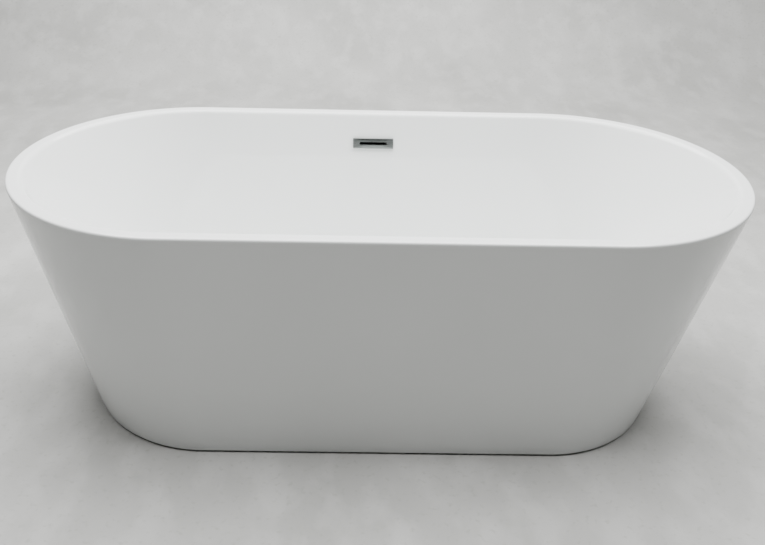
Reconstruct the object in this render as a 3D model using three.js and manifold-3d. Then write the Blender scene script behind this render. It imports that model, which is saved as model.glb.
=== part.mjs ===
// Freestanding double-ended bathtub: an acrylic basin and outer skirt on a steel frame with five levelling
// feet, a push-to-open waste in the floor, and a slotted overflow in the rear wall piped to the waste.
// Millimetres, +Z up. The origin is on the floor, midway along and across the tub. +X runs along the tub and
// +Y points to the rear side, which carries the overflow.
import * as THREE from "three";
import { mergeVertices } from "three/addons/utils/BufferGeometryUtils.js";
import Module from "manifold-3d";

const wasm = await Module();
wasm.setup();

// ---- driving dimensions ----
const TUB = { length: 1700, width: 800, height: 580 };
const SKIRT_BASE = { length: 1412, width: 674, endLength: 310, z: 5 };
const FLOOR = { length: 1160, width: 500, endLength: 230, edgeZ: 150, drainZ: 143 };
const DECK_WIDTH = 32; // rim deck, from its outer edge to the top of the basin wall
const EDGE_ROUND = 6; // outer edge of the deck
const INNER_ROUND = { across: 8, down: 11 }; // deck to basin wall
const COVE = { wall: 90, floorShare: 0.32 }; // height of the cove up the wall, and its share of the floor
const LIP_DEPTH = 14; // down-turned edge of the deck, whose foot meets the skirt
const BASIN_WALL = 5.5;
const SKIRT_WALL = 5;
const GAP = 0.3; // bonded or touching faces are modelled this far apart

const DRAIN = { x: 0, y: 95, hole: 26, recess: 36.5, recessDepth: 4 };
const OVERFLOW = { z: 502, wallHole: { width: 92, height: 15, corner: 7.4 } };
const COVER = { width: 110, height: 28, corner: 1.5, wall: 2, front: -6.5, back: -0.5 };
const SLOT = { width: 76, height: 7 }; // through the cover
const CLIP_PLATE = { width: 100, height: 19, front: -1.8, window: [68, 10, 4] }; // holds the cover on the wall
const OVERFLOW_GASKET = { width: 102, height: 30, thickness: 1.6, window: [94, 17, 8] };
const OVERFLOW_BODY = { width: 104, height: 32, depth: 25, wall: 3, pocket: [68, 18, 4], spigotIn: 14 };
const SCREW = { x: 41, hole: 2.5, headR: 4, headFront: -3.8, headBack: -2.1, shankR: 2, reach: 12 };

const BOARD = { length: 960, width: 410, endLength: 180, thickness: 12, top: 136.5, wasteHole: 56 };
const RAIL = { length: 960, y: 180, size: 30, wall: 2 };
const CROSS_X = { left_outer: -380, left_inner: -150, right_inner: 150, right_outer: 380 };
const BEAM_Y = -40;
const BRACKET_X = 300;

const FEET = {
  front_left: [-440, -RAIL.y],
  front_right: [440, -RAIL.y],
  rear_left: [-440, RAIL.y],
  rear_right: [440, RAIL.y],
  center: [0, BEAM_Y],
};
const STUD_R = 6;
const STUD_CLEARANCE = 0.6;

const HOSE = { outer: 14, inner: 12 };
const SPIGOT = { outer: 11.2, bore: 8.6 };
const ROUND = 12; // sides of small turned pieces
const END_STEPS = 16; // steps round each end of the tub's outlines
const SIDE_STEPS = 4; // steps along each straight side

const railTop = BOARD.top - BOARD.thickness - GAP;
const railBottom = railTop - RAIL.size;

// ---- materials ----
const finish = (color, roughness, metalness = 0) => () =>
  new THREE.MeshStandardMaterial({ color, roughness, metalness });
const acrylic = finish(0xf2f2ef, 0.12);
const laminate = finish(0xc9c4a8, 0.7);
const plywood = finish(0xb98f5c, 0.75);
const galvanised = finish(0x9ea3a6, 0.45, 0.9);
const zincPlated = finish(0xb9bcc0, 0.35, 0.9);
const chrome = finish(0xc4c9cb, 0.1, 1);
const blackRubber = finish(0x1c1c1d, 0.8);
const blackPlastic = finish(0x26272a, 0.5);
const whitePlastic = finish(0xdfe0dc, 0.4);

// ---- building helpers ----
const tub = new THREE.Group();

/** Adds a geometry to a group as one named mesh. */
function piece(name, geometry, material, group = tub) {
  const mesh = new THREE.Mesh(outward(geometry), material());
  mesh.name = name;
  group.add(mesh);
  return mesh;
}

/** Turns a closed geometry's faces round if they point inwards. */
function outward(geometry) {
  const flat = geometry.index ? geometry.toNonIndexed() : geometry;
  const p = flat.getAttribute("position");
  const [a, b, c] = [new THREE.Vector3(), new THREE.Vector3(), new THREE.Vector3()];
  let volume = 0;
  for (let i = 0; i < p.count; i += 3) {
    a.fromBufferAttribute(p, i);
    b.fromBufferAttribute(p, i + 1);
    c.fromBufferAttribute(p, i + 2);
    volume += a.dot(b.cross(c));
  }
  if (volume > 0) return flat;
  for (let i = 0; i < p.count; i += 3) {
    b.fromBufferAttribute(p, i + 1);
    c.fromBufferAttribute(p, i + 2);
    p.setXYZ(i + 1, c.x, c.y, c.z);
    p.setXYZ(i + 2, b.x, b.y, b.z);
  }
  return flat;
}

/** A closed geometry as a manifold-3d solid. */
function solid(geometry) {
  const bare = outward(geometry).clone();
  bare.deleteAttribute("normal");
  bare.deleteAttribute("uv");
  const merged = mergeVertices(bare, 1e-3);
  return new wasm.Manifold(
    new wasm.Mesh({
      numProp: 3,
      vertProperties: merged.getAttribute("position").array,
      triVerts: new Uint32Array(merged.index.array),
    }),
  );
}

/** A manifold-3d solid as a geometry. */
function fromSolid(manifold) {
  const mesh = manifold.getMesh();
  const positions = new Float32Array(mesh.numVert * 3);
  for (let i = 0; i < mesh.numVert; i++) {
    positions.set(mesh.vertProperties.subarray(i * mesh.numProp, i * mesh.numProp + 3), i * 3);
  }
  return new THREE.BufferGeometry()
    .setAttribute("position", new THREE.BufferAttribute(positions, 3))
    .setIndex(new THREE.BufferAttribute(mesh.triVerts, 1));
}

/** The first geometry with the joined ones added and then the cut ones taken away. */
function shaped(base, { join = [], cut = [] }) {
  let made = solid(base);
  for (const g of join) made = made.add(solid(g));
  for (const g of cut) made = made.subtract(solid(g));
  return fromSolid(made);
}

/** A box centred on x and y, standing between two heights. */
const block = (width, depth, low, high, x = 0, y = 0) =>
  new THREE.BoxGeometry(width, depth, high - low).translate(x, y, (low + high) / 2);

/** An upright cylinder or prism between two heights. */
const post = (radius, low, high, x = 0, y = 0, sides = ROUND) =>
  new THREE.CylinderGeometry(radius, radius, high - low, sides)
    .rotateX(Math.PI / 2)
    .translate(x, y, (low + high) / 2);

/** A turned piece about the Z axis, from [radius, height] points that start and end on the axis or close. */
function turned(points, sides = ROUND) {
  const profile = points.map(([r, z]) => new THREE.Vector2(r, z));
  return new THREE.LatheGeometry(profile, sides).rotateX(Math.PI / 2);
}

/** A turned ring with a rectangular section. */
function ring(inner, outer, low, high, sides = ROUND) {
  return turned([[inner, low], [outer, low], [outer, high], [inner, high], [inner, low]], sides);
}

/** A flat rounded rectangle in X and Z, extruded along +Y from y0 to y1. */
function plate(width, height, corner, y0, y1, holes = []) {
  const shape = roundedRectangle(width, height, corner);
  shape.holes.push(...holes);
  return new THREE.ExtrudeGeometry(shape, { depth: y1 - y0, bevelEnabled: false, curveSegments: 3 })
    .rotateX(Math.PI / 2)
    .translate(0, y1, 0);
}

function roundedRectangle(width, height, corner, x = 0) {
  const [w, h] = [width / 2, height / 2];
  const shape = new THREE.Shape();
  shape.absarc(x + w - corner, h - corner, corner, 0, Math.PI / 2);
  shape.absarc(x - w + corner, h - corner, corner, Math.PI / 2, Math.PI);
  shape.absarc(x - w + corner, -h + corner, corner, Math.PI, 1.5 * Math.PI);
  shape.absarc(x + w - corner, -h + corner, corner, 1.5 * Math.PI, 2 * Math.PI);
  return shape;
}

// ---- outlines of the tub ----
// An outline has two straight sides and two half-elliptical ends: straight is half the length of a side, end
// the length of each end, and half the half width.
const outline = (length, width, endLength, z) => ({
  straight: length / 2 - endLength,
  end: endLength,
  half: width / 2,
  z,
});
const rimOutline = outline(TUB.length, TUB.width, TUB.width / 2, TUB.height);
const widestOutline = { ...rimOutline, z: TUB.height - EDGE_ROUND };
const baseOutline = outline(SKIRT_BASE.length, SKIRT_BASE.width, SKIRT_BASE.endLength, SKIRT_BASE.z);
const floorOutline = outline(FLOOR.length, FLOOR.width, FLOOR.endLength, FLOOR.edgeZ);

/** The outline a fraction t of the way from a to b. */
const between = (a, b, t) => ({
  straight: a.straight + (b.straight - a.straight) * t,
  end: a.end + (b.end - a.end) * t,
  half: a.half + (b.half - a.half) * t,
  z: a.z + (b.z - a.z) * t,
});

/** The outline drawn in by some distance, at a new height if one is given. */
const inset = (o, by, z = o.z) => ({ ...o, end: o.end - by, half: o.half - by, z });

const skirtFace = (z) =>
  between(widestOutline, baseOutline, (widestOutline.z - z) / (widestOutline.z - baseOutline.z));
const wallTop = inset(rimOutline, DECK_WIDTH);
const wallFace = (z) => between(wallTop, floorOutline, (TUB.height - z) / (TUB.height - FLOOR.edgeZ));

/** The points of an outline, anticlockwise seen from above, starting at the front end of the right-hand end. */
function points({ straight, end, half, z }) {
  const found = [];
  for (const side of [1, -1]) {
    for (let i = 0; i < END_STEPS; i++) {
      const angle = Math.PI * (i / END_STEPS - 0.5);
      const x = straight + end * Math.cos(angle);
      found.push(new THREE.Vector3(side * x, side * half * Math.sin(angle), z));
    }
    for (let i = 0; i < SIDE_STEPS; i++) {
      found.push(new THREE.Vector3(side * straight * (1 - (2 * i) / SIDE_STEPS), side * half, z));
    }
  }
  return found;
}

/** Rings of points from a to c that leave along a-b and arrive along b-c, as a quadratic Bezier curve does. */
function bend(a, b, c, steps) {
  return Array.from({ length: steps + 1 }, (_, k) => {
    const t = k / steps;
    return a.map((p, j) =>
      new THREE.Vector3()
        .addScaledVector(p, (1 - t) ** 2)
        .addScaledVector(b[j], 2 * t * (1 - t))
        .addScaledVector(c[j], t * t),
    );
  });
}

/** A surface through rings of equal length, closed round each ring and from the last ring to the first. */
function loft(rings) {
  const count = rings[0].length;
  const positions = rings.flat().flatMap((p) => [p.x, p.y, p.z]);
  const index = [];
  rings.forEach((_, i) => {
    const next = (i + 1) % rings.length;
    for (let j = 0; j < count; j++) {
      const k = (j + 1) % count;
      const [a, b, c, d] = [i * count + j, i * count + k, next * count + k, next * count + j];
      index.push(a, b, c, a, c, d);
    }
  });
  return new THREE.BufferGeometry()
    .setAttribute("position", new THREE.Float32BufferAttribute(positions, 3))
    .setIndex(index);
}

/** A point of a grid of rings moved by some distance along the surface's normal, away from the basin. */
function offset(rings, i, j, by) {
  const [before, after] = [rings[Math.max(i - 1, 0)], rings[Math.min(i + 1, rings.length - 1)]];
  const count = rings[i].length;
  const down = new THREE.Vector3().subVectors(after[j], before[j]);
  const round = new THREE.Vector3().subVectors(rings[i][(j + 1) % count], rings[i][(j + count - 1) % count]);
  return rings[i][j].clone().addScaledVector(down.cross(round).normalize(), by);
}

// ---- shells ----

/** A circle about the drain, evenly divided into as many points as an outline has, from the same start. */
function drainCircle(radius, z) {
  const count = 2 * (END_STEPS + SIDE_STEPS);
  return Array.from({ length: count }, (_, i) => {
    const angle = 2 * Math.PI * (i / count - 0.25);
    return new THREE.Vector3(DRAIN.x + radius * Math.cos(angle), DRAIN.y + radius * Math.sin(angle), z);
  });
}

/** The basin: lip, deck, wall, coved corner, and a floor that falls to a recess for the waste. */
function innerBasin() {
  const lipFoot = points(skirtFace(TUB.height - LIP_DEPTH));
  const lipHead = points(widestOutline);
  const deckCorner = points(rimOutline);
  const deckOuter = points(inset(rimOutline, EDGE_ROUND));
  const deckInner = points(inset(rimOutline, DECK_WIDTH - INNER_ROUND.across));
  const wallCorner = points(wallTop);
  const wallHead = points(wallFace(TUB.height - INNER_ROUND.down));
  const coveHead = points(wallFace(FLOOR.edgeZ + COVE.wall));
  const floorCorner = points(floorOutline);
  const recessEdge = drainCircle(DRAIN.recess, FLOOR.drainZ);
  const coveFoot = floorCorner.map((p, j) => p.clone().lerp(recessEdge[j], COVE.floorShare));

  const seat = FLOOR.drainZ - DRAIN.recessDepth;
  const top = [
    lipFoot,
    ...bend(lipHead, deckCorner, deckOuter, 2),
    ...bend(deckInner, wallCorner, wallHead, 2),
    ...bend(coveHead, floorCorner, coveFoot, 5),
    recessEdge,
    drainCircle(DRAIN.recess, seat),
    drainCircle(DRAIN.hole, seat),
  ];
  const under = top.map((points, i) => points.map((_, j) => offset(top, i, j, BASIN_WALL)));
  under[0].forEach((p, j) => (p.z = lipFoot[j].z));
  const recessFoot = [
    drainCircle(DRAIN.hole, seat - BASIN_WALL),
    drainCircle(DRAIN.recess + BASIN_WALL, seat - BASIN_WALL),
    drainCircle(DRAIN.recess + BASIN_WALL, FLOOR.drainZ - BASIN_WALL),
  ];
  const shell = loft([...top, ...recessFoot, ...under.slice(0, -3).reverse()]);
  const hole = OVERFLOW.wallHole;
  return shaped(shell, { cut: [place(overflowFrame, plate(hole.width, hole.height, hole.corner, -20, 20))] });
}

/** A band that follows the skirt's slope between two heights and two depths behind its outer face. */
function skirtBand(low, high, outer, inner) {
  const at = (z, depth) => points(inset(skirtFace(z), depth));
  return loft([at(low, outer), at(high, outer), at(high, inner), at(low, inner)]);
}

// ---- overflow ----
// Its frame sits on the basin wall: local X along the tub, -Y out of the wall into the basin, +Z up the wall.
const wallAtOverflow = wallFace(OVERFLOW.z);
const wallLean = Math.atan2(wallTop.half - floorOutline.half, TUB.height - FLOOR.edgeZ);
const overflowFrame = new THREE.Group();
overflowFrame.position.set(0, wallAtOverflow.half, OVERFLOW.z);
overflowFrame.rotation.x = -wallLean;
overflowFrame.updateMatrixWorld(true);
tub.add(overflowFrame);

/** A geometry moved from a group's frame into the tub's. */
const place = (group, geometry) => geometry.applyMatrix4(group.matrixWorld);

function overflowPieces() {
  const behind = BASIN_WALL + GAP;
  const bodyFront = behind + OVERFLOW_GASKET.thickness + GAP;
  const bodyBack = bodyFront + OVERFLOW_BODY.depth;
  const spigotY = bodyFront + OVERFLOW_BODY.spigotIn;
  const spigotFoot = -44;
  const screwHoles = (y0, y1) => [-1, 1].map((side) => crosswise(SCREW.hole, y0, y1, side * SCREW.x));

  const hollow = [COVER.width - 2 * COVER.wall, COVER.height - 2 * COVER.wall, 1];
  const cover = shaped(plate(COVER.width, COVER.height, COVER.corner, COVER.front, COVER.back), {
    cut: [
      plate(...hollow, COVER.front + COVER.wall, 1),
      plate(SLOT.width, SLOT.height, SLOT.height / 2 - 0.1, COVER.front - 1, 1),
    ],
  });
  piece("overflow_cover", cover, chrome, overflowFrame);

  const bracket = shaped(plate(CLIP_PLATE.width, CLIP_PLATE.height, 2, CLIP_PLATE.front, -GAP), {
    cut: [plate(...CLIP_PLATE.window, CLIP_PLATE.front - 1, 1), ...screwHoles(CLIP_PLATE.front - 1, 1)],
  });
  piece("overflow_bracket", bracket, zincPlated, overflowFrame);

  const { width, height, window } = OVERFLOW_GASKET;
  const gasket = plate(width, height, 6, behind, bodyFront - GAP, [roundedRectangle(...window)]);
  piece("overflow_gasket", gasket, blackRubber, overflowFrame);

  const body = shaped(plate(OVERFLOW_BODY.width, OVERFLOW_BODY.height, 7, bodyFront, bodyBack), {
    join: [post(SPIGOT.outer, spigotFoot, -10, 0, spigotY)],
    cut: [
      plate(...OVERFLOW_BODY.pocket, bodyFront - 1, bodyBack - OVERFLOW_BODY.wall),
      post(SPIGOT.bore, spigotFoot - 1, 0, 0, spigotY),
      ...screwHoles(bodyFront - 1, bodyFront + SCREW.reach + 2),
    ],
  });
  piece("overflow_body", body, blackPlastic, overflowFrame);

  for (const [name, side] of [["left", -1], ["right", 1]]) {
    const screw = shaped(crosswise(SCREW.headR, SCREW.headFront, SCREW.headBack, side * SCREW.x), {
      join: [crosswise(SCREW.shankR, SCREW.headBack - 0.9, bodyFront + SCREW.reach, side * SCREW.x)],
    });
    piece(`overflow_screw_${name}`, screw, zincPlated, overflowFrame);
  }
  return {
    start: new THREE.Vector3(0, spigotY, spigotFoot + 26),
    end: new THREE.Vector3(0, spigotY, spigotFoot),
  };
}

/** A cylinder along Y in the overflow's frame. */
const crosswise = (radius, y0, y1, x, z = 0, sides = 12) =>
  new THREE.CylinderGeometry(radius, radius, y1 - y0, sides).translate(x, (y0 + y1) / 2, z);

// ---- waste ----
const WASTE = { shoeTop: 129.5, portZ: 62, portLength: 62, neckFoot: 28, shoeR: 28 };

function wastePieces() {
  const seat = FLOOR.drainZ - DRAIN.recessDepth;
  const underFloor = seat - BASIN_WALL;
  const waste = new THREE.Group();
  waste.position.set(DRAIN.x, DRAIN.y, 0);
  tub.add(waste);

  const flange = turned(
    [[21, 100], [24, 100], [24, 140.1], [34, 140.1], [35, 140.9], [34.6, 142.6], [33, 143.3],
      [24.5, 143.3], [21, 141], [21, 100]],
    24,
  );
  const hub = shaped(flange, {
    join: [block(43, 5, 112, 117), block(5, 43, 112, 117), post(9.5, 110, 118)],
    cut: [post(7, 105, 125)],
  });
  piece("waste_flange", hub, chrome, waste);
  piece("waste_flange_seal", ring(26.6, 34.5, seat + GAP, 139.8, 20), blackRubber, waste);
  piece("waste_shoe_gasket", ring(26, 35, WASTE.shoeTop + GAP, underFloor - GAP, 20), blackRubber, waste);

  const shoe = shaped(
    turned(
      [[24.6, 129.5], [36, 129.5], [36, 124], [WASTE.shoeR, 124], [WASTE.shoeR, 44], [24, 44],
        [24, WASTE.neckFoot], [20.6, WASTE.neckFoot], [20.6, 56], [22, 60], [22, 92], [24.6, 96], [24.6, 129.5]],
      20,
    ),
    {
      join: [portCylinder(SPIGOT.outer, 24, WASTE.portLength)],
      cut: [portCylinder(SPIGOT.bore, 15, WASTE.portLength + 1)],
    },
  );
  piece("waste_shoe", shoe, blackPlastic, waste);

  piece("waste_tailpiece", ring(17.6, 20, 16, 54, 20), chrome, waste);
  piece("tailpiece_washer", ring(20.5, 24, 26.3, WASTE.neckFoot - GAP, 20), blackRubber, waste);
  const nut = shaped(post(31, 22, 41, 0, 0, 12), {
    cut: [post(24.9, 26, 42, 0, 0, 20), post(20.8, 20, 30, 0, 0, 20)],
  });
  piece("tailpiece_nut", nut, whitePlastic, waste);

  const cap = turned(
    [[0, 141.6], [8, 141.6], [8, 144.6], [31, 144.6], [32, 145.4], [31.6, 146.8], [26, 148.7], [14, 150.1],
      [0, 150.6]],
    24,
  );
  piece("stopper_cap", cap, chrome, waste);
  piece("stopper_seal", ring(8.4, 20.5, 141.4, 144.3, 20), blackRubber, waste);
  piece("stopper_stem", post(4, 105, 141.3), zincPlated, waste);
  piece(
    "stopper_sleeve",
    turned([[0, 95], [6.5, 95], [6.5, 121], [4.6, 121], [4.6, 97.5], [0, 97.5]]),
    zincPlated,
    waste,
  );
  piece("stopper_spring", coil(3.2, 0.4, 98.2, 104.3, 3.5), zincPlated, waste);
}

/** A cylinder along +Y at the height of the waste's side port. */
const portCylinder = (radius, y0, y1) => crosswise(radius, y0, y1, 0, WASTE.portZ, ROUND);

/** A round wire wound about the Z axis, between two heights of its centre line. */
function coil(radius, wire, low, high, turns) {
  class Helix extends THREE.Curve {
    getPoint(t, target = new THREE.Vector3()) {
      const angle = 2 * Math.PI * turns * t;
      return target.set(radius * Math.cos(angle), radius * Math.sin(angle), low + (high - low) * t);
    }
  }
  const section = new THREE.Shape().absarc(0, 0, wire, 0, 2 * Math.PI);
  return new THREE.ExtrudeGeometry(section, {
    steps: Math.round(9 * turns),
    curveSegments: 3,
    bevelEnabled: false,
    extrudePath: new Helix(),
  });
}

// ---- hose between the overflow and the waste ----

/** The hose runs down the gap behind the basin, under the rear rail, and into the waste's side port. */
function hosePieces(spigot) {
  const start = overflowFrame.localToWorld(spigot.start.clone());
  const onSpigot = overflowFrame.localToWorld(spigot.end.clone());
  const portEnd = DRAIN.y + WASTE.portLength;
  const route = new THREE.CatmullRomCurve3(
    [
      start,
      onSpigot,
      new THREE.Vector3(0, 351, 430),
      new THREE.Vector3(0, 340, 370),
      new THREE.Vector3(0, 325, 290),
      new THREE.Vector3(0, 309, 205),
      new THREE.Vector3(0, 294, 130),
      new THREE.Vector3(0, 262, 80),
      new THREE.Vector3(0, 210, WASTE.portZ + 2),
      new THREE.Vector3(0, portEnd + 16, WASTE.portZ),
      new THREE.Vector3(0, portEnd, WASTE.portZ),
      new THREE.Vector3(0, portEnd - 25, WASTE.portZ),
    ],
    false,
    "centripetal",
  );
  const section = new THREE.Shape().absarc(0, 0, HOSE.outer, 0, 2 * Math.PI);
  section.holes.push(new THREE.Path().absarc(0, 0, HOSE.inner, 0, 2 * Math.PI));
  const hose = new THREE.ExtrudeGeometry(section, {
    steps: 26,
    curveSegments: 5,
    bevelEnabled: false,
    extrudePath: route,
  });
  piece("overflow_hose", hose, blackPlastic);

  const top = new THREE.Group();
  top.position.copy(start.clone().lerp(onSpigot, 0.45));
  top.rotation.copy(overflowFrame.rotation);
  tub.add(top);
  piece("hose_clamp_top", hoseClamp(), zincPlated, top);

  const bottom = new THREE.Group();
  bottom.position.set(0, portEnd - 12, WASTE.portZ);
  bottom.rotation.x = Math.PI / 2;
  tub.add(bottom);
  piece("hose_clamp_bottom", hoseClamp(), zincPlated, bottom);
}

/** A worm-drive clamp about the Z axis: a band, and a screw housing beside it with its screw head. */
function hoseClamp() {
  return shaped(ring(HOSE.outer + 0.4, HOSE.outer + 1.5, -4.5, 4.5, 24), {
    join: [block(7, 15, -5, 5, HOSE.outer + 4), block(6, 19, -3, 3, HOSE.outer + 4)],
  });
}

// ---- frame ----

/** A square steel tube lying along X or Y, with holes for the studs through its lower wall. */
function squareTube(length, alongY, x, y, holes = []) {
  const half = RAIL.size / 2;
  const section = roundedRectangle(RAIL.size, RAIL.size, 3);
  section.holes.push(roundedRectangle(RAIL.size - 2 * RAIL.wall, RAIL.size - 2 * RAIL.wall, 1));
  const tube = new THREE.ExtrudeGeometry(section, { depth: length, bevelEnabled: false, curveSegments: 2 })
    .translate(0, 0, -length / 2)
    .rotateX(Math.PI / 2);
  if (!alongY) tube.rotateZ(Math.PI / 2);
  tube.translate(x, y, railBottom + half);
  const radius = STUD_R + STUD_CLEARANCE;
  const drilled = holes.map(([hx, hy]) => post(radius, railBottom - 5, railBottom + half, hx, hy));
  return drilled.length ? shaped(tube, { cut: drilled }) : tube;
}

function framePieces() {
  const under = (y) => Object.values(FEET).filter((at) => at[1] === y);
  piece("front_rail", squareTube(RAIL.length, false, 0, -RAIL.y, under(-RAIL.y)), galvanised);
  piece("rear_rail", squareTube(RAIL.length, false, 0, RAIL.y, under(RAIL.y)), galvanised);
  const crossLength = 2 * RAIL.y - RAIL.size - 2 * GAP;
  for (const [side, x] of Object.entries(CROSS_X)) {
    piece(`cross_tube_${side}`, squareTube(crossLength, true, x, 0), galvanised);
  }
  const beamLength = CROSS_X.right_inner - CROSS_X.left_inner - RAIL.size - 2 * GAP;
  piece("center_beam", squareTube(beamLength, false, 0, BEAM_Y, under(BEAM_Y)), galvanised);

  for (const [end, sx] of [["left", -1], ["right", 1]]) {
    for (const [side, sy] of [["front", -1], ["rear", 1]]) {
      piece(`skirt_bracket_${side}_${end}`, skirtBracket(sx * BRACKET_X, sy), galvanised);
    }
  }
}

/** A bent strip from under a rail out to the skirt, where its flange turns up along the skirt's inner face. */
function skirtBracket(x, side) {
  const [width, thick, flange] = [40, 3, 45];
  const low = railBottom - GAP - thick;
  const skirtY = (z) => skirtFace(z).half - SKIRT_WALL - 2 * GAP;
  const profile = [
    [RAIL.y - 12, low],
    [skirtY(low), low],
    [skirtY(low + flange), low + flange],
    [skirtY(low + flange) - thick, low + flange],
    [skirtY(low + thick) - thick, low + thick],
    [RAIL.y - 12, low + thick],
  ];
  const shape = new THREE.Shape(profile.map(([y, z]) => new THREE.Vector2(side * y, z)));
  // The section's X and Y become the tub's Y and Z, and its depth runs along the tub's X.
  const turn = new THREE.Matrix4().set(0, 0, 1, x - width / 2, 1, 0, 0, 0, 0, 1, 0, 0, 0, 0, 0, 1);
  return new THREE.ExtrudeGeometry(shape, { depth: width, bevelEnabled: false }).applyMatrix4(turn);
}

/** The plywood board bonded under the basin's floor, cut away round the waste. */
function floorBoard() {
  const { length, width, endLength, top, thickness, wasteHole } = BOARD;
  const [a, half] = [length / 2 - endLength, width / 2];
  const shape = new THREE.Shape();
  shape.absellipse(a, 0, endLength, half, -Math.PI / 2, Math.PI / 2);
  shape.absellipse(-a, 0, endLength, half, Math.PI / 2, 1.5 * Math.PI);
  shape.holes.push(new THREE.Path().absarc(DRAIN.x, DRAIN.y, wasteHole, 0, 2 * Math.PI));
  const board = new THREE.ExtrudeGeometry(shape, { depth: thickness, bevelEnabled: false, curveSegments: 16 });
  return board.translate(0, 0, top - thickness);
}

// ---- levelling feet ----
const FOOT = { padR: 30, padHeight: 13, socketR: 9.5, discR: 9, studTop: 110, nut: 8, bush: 10 };

/** A foot is a threaded stud that turns in a pad, a welded bush that it screws through, and a lock nut. */
function footPieces(name, [x, y]) {
  const foot = new THREE.Group();
  foot.position.set(x, y, 0);
  tub.add(foot);
  const hole = STUD_R + STUD_CLEARANCE;

  const pad = turned([
    [0, 0], [FOOT.padR, 0], [FOOT.padR, 5], [18, FOOT.padHeight], [hole, FOOT.padHeight], [hole, 8.4],
    [FOOT.socketR, 8.4], [FOOT.socketR, 4], [0, 4],
  ]);
  piece(`foot_pad_${name}`, pad, blackPlastic, foot);

  const stud = shaped(
    turned([[0, 4.3], [FOOT.discR, 4.3], [FOOT.discR, 8], [STUD_R, 8], [STUD_R, FOOT.studTop - 1.5],
      [STUD_R - 1.5, FOOT.studTop], [0, FOOT.studTop]]),
    { join: [post(11, 18, 26, 0, 0, 6)] },
  );
  piece(`foot_stud_${name}`, stud, zincPlated, foot);

  const bushTop = railBottom - GAP;
  const nutTop = bushTop - FOOT.bush - GAP;
  piece(`foot_bush_${name}`, drilledPrism(12, bushTop - FOOT.bush, bushTop, hole, ROUND), galvanised, foot);
  piece(`foot_lock_nut_${name}`, drilledPrism(10.9, nutTop - FOOT.nut, nutTop, hole, 6), zincPlated, foot);
}

const drilledPrism = (radius, low, high, hole, sides) =>
  shaped(post(radius, low, high, 0, 0, sides), { cut: [post(hole, low - 1, high + 1)] });

// ---- assembly ----
const lipFootZ = TUB.height - LIP_DEPTH;
piece("inner_basin", innerBasin(), acrylic);
piece("outer_skirt", skirtBand(SKIRT_BASE.z, lipFootZ - GAP, 0, SKIRT_WALL), acrylic);
const stripDepth = Math.max(BASIN_WALL, SKIRT_WALL) + GAP;
piece(
  "rim_bonding_strip",
  skirtBand(lipFootZ - 20, TUB.height - BASIN_WALL - 1, stripDepth, stripDepth + 4),
  laminate,
);
piece("floor_board", floorBoard(), plywood);
framePieces();
for (const [name, at] of Object.entries(FEET)) footPieces(name, at);
wastePieces();
hosePieces(overflowPieces());

export default tub;
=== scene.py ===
"""A freestanding acrylic bathtub, put together in the order in which such a tub is made: skirt, basin, the board
and steel frame underneath, its levelling feet, the push-to-open waste, the overflow and its hose, and last the
studio."""

from math import cos, pi, radians, sin, tau

import bpy
import numpy as np
from mathutils import Matrix, Vector


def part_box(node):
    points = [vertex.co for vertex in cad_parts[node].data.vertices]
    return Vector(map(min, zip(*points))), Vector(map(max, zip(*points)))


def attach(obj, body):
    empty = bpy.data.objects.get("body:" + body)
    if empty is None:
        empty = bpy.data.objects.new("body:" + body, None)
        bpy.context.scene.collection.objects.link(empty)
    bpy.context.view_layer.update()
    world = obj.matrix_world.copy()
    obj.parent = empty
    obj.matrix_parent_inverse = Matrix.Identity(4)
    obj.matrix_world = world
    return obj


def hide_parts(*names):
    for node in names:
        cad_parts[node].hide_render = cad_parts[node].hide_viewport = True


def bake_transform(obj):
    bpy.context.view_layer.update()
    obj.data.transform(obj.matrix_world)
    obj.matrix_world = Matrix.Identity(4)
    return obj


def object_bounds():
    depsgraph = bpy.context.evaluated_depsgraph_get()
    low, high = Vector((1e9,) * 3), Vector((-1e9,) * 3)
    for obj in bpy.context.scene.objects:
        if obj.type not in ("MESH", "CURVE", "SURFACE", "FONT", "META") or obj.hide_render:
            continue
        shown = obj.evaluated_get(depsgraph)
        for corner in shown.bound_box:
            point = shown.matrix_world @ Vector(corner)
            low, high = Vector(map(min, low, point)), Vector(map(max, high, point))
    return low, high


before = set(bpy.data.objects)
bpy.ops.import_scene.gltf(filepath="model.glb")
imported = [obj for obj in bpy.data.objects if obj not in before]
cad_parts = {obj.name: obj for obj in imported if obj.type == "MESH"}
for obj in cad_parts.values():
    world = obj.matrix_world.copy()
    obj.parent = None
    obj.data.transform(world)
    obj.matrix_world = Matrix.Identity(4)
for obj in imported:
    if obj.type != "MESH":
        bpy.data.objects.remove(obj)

cad_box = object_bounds()


# ---- Camera ----
# It stands before the long front side, a little left of the middle and well above the rim, and looks down on the
# tub. The small shift keeps the whole tub in the frame, as the view is cropped off centre.
CAMERA_AT = Vector((-0.1125, -1.853, 1.324))
CAMERA_TURNS = {"yaw": 0.98, "down": 27.1, "roll": 1.4}  # degrees

camera = bpy.data.objects.new("camera", bpy.data.cameras.new("camera"))
camera.data.lens = 40.03
camera.data.shift_x = 0.0511
camera.data.shift_y = -0.0406
camera.matrix_world = (
    Matrix.Translation(CAMERA_AT)
    @ Matrix.Rotation(-radians(CAMERA_TURNS["yaw"]), 4, "Z")
    @ Matrix.Rotation(radians(90 - CAMERA_TURNS["down"]), 4, "X")
    @ Matrix.Rotation(radians(CAMERA_TURNS["roll"]), 4, "Z")
)
bpy.context.scene.collection.objects.link(camera)
bpy.context.scene.camera = camera


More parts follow.
